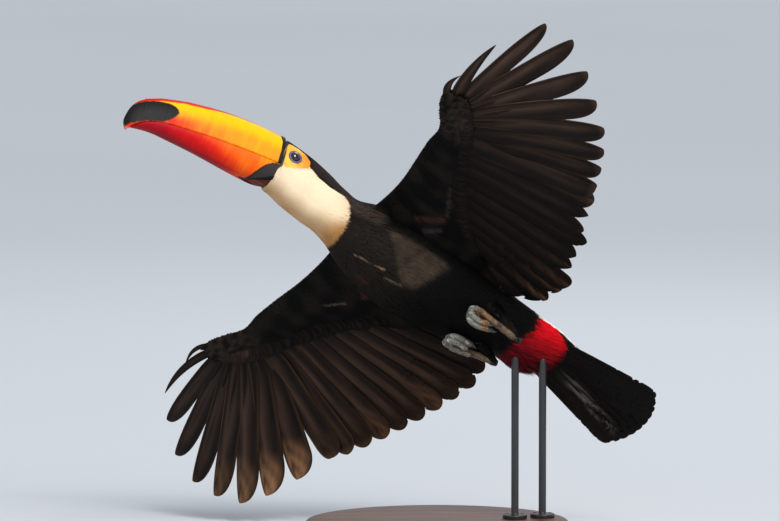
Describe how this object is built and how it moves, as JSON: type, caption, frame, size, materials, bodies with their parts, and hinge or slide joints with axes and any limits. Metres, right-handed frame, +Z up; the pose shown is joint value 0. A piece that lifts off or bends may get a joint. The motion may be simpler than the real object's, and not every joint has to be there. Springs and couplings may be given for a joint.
{
  "type": "toco toucan",
  "caption": "Life-size still model of a toco toucan in banked flight, wings and tail spread, feet tucked, held over a round wooden base by upright steel rods.",
  "frame": {"origin": "centre of the base's underside", "axes": "+Z up; the bird flies towards -X, turned 14 degrees towards -Y, climbing 34 degrees and banked 51 degrees with its left wing up"},
  "size_m": [0.5607, 0.3957, 0.5543],
  "materials": {
    "black_plumage": "satin black feathers",
    "flight_feathers": "brown-black feathers with paler edges",
    "cream_plumage": "soft cream feathers",
    "head_skin_and_plumage": "cream and black feathers with bare orange skin round the eye",
    "red_plumage": "soft red feathers, white above",
    "bill_orange": "horn with a soft gloss, yellow to orange, black tip patch",
    "bill_red": "horn with a soft gloss, orange to red",
    "eye": "wet dark eye",
    "foot_scales": "blue-grey scales with dark claws",
    "stand_wood": "dark waxed wood",
    "stand_steel": "black satin paint"
  },
  "bodies": {
    "root": {"head": "head_skin_and_plumage", "neck": "cream_plumage", "trunk": "black_plumage", "tail_coverts": "red_plumage", "tail": "black_plumage", "bill_upper": "bill_orange", "bill_lower": "bill_red", "eye_left": "eye", "eye_right": "eye", "wing_left_arm": "black_plumage", "wing_left_flight_feathers": "flight_feathers", "wing_right_arm": "black_plumage", "wing_right_flight_feathers": "flight_feathers", "thigh_left": "black_plumage", "foot_left": "foot_scales", "thigh_right": "black_plumage", "foot_right": "foot_scales", "stand_base": "stand_wood", "stand_rod_front": "stand_steel", "stand_rod_rear": "stand_steel"}
  },
  "joints": []
}
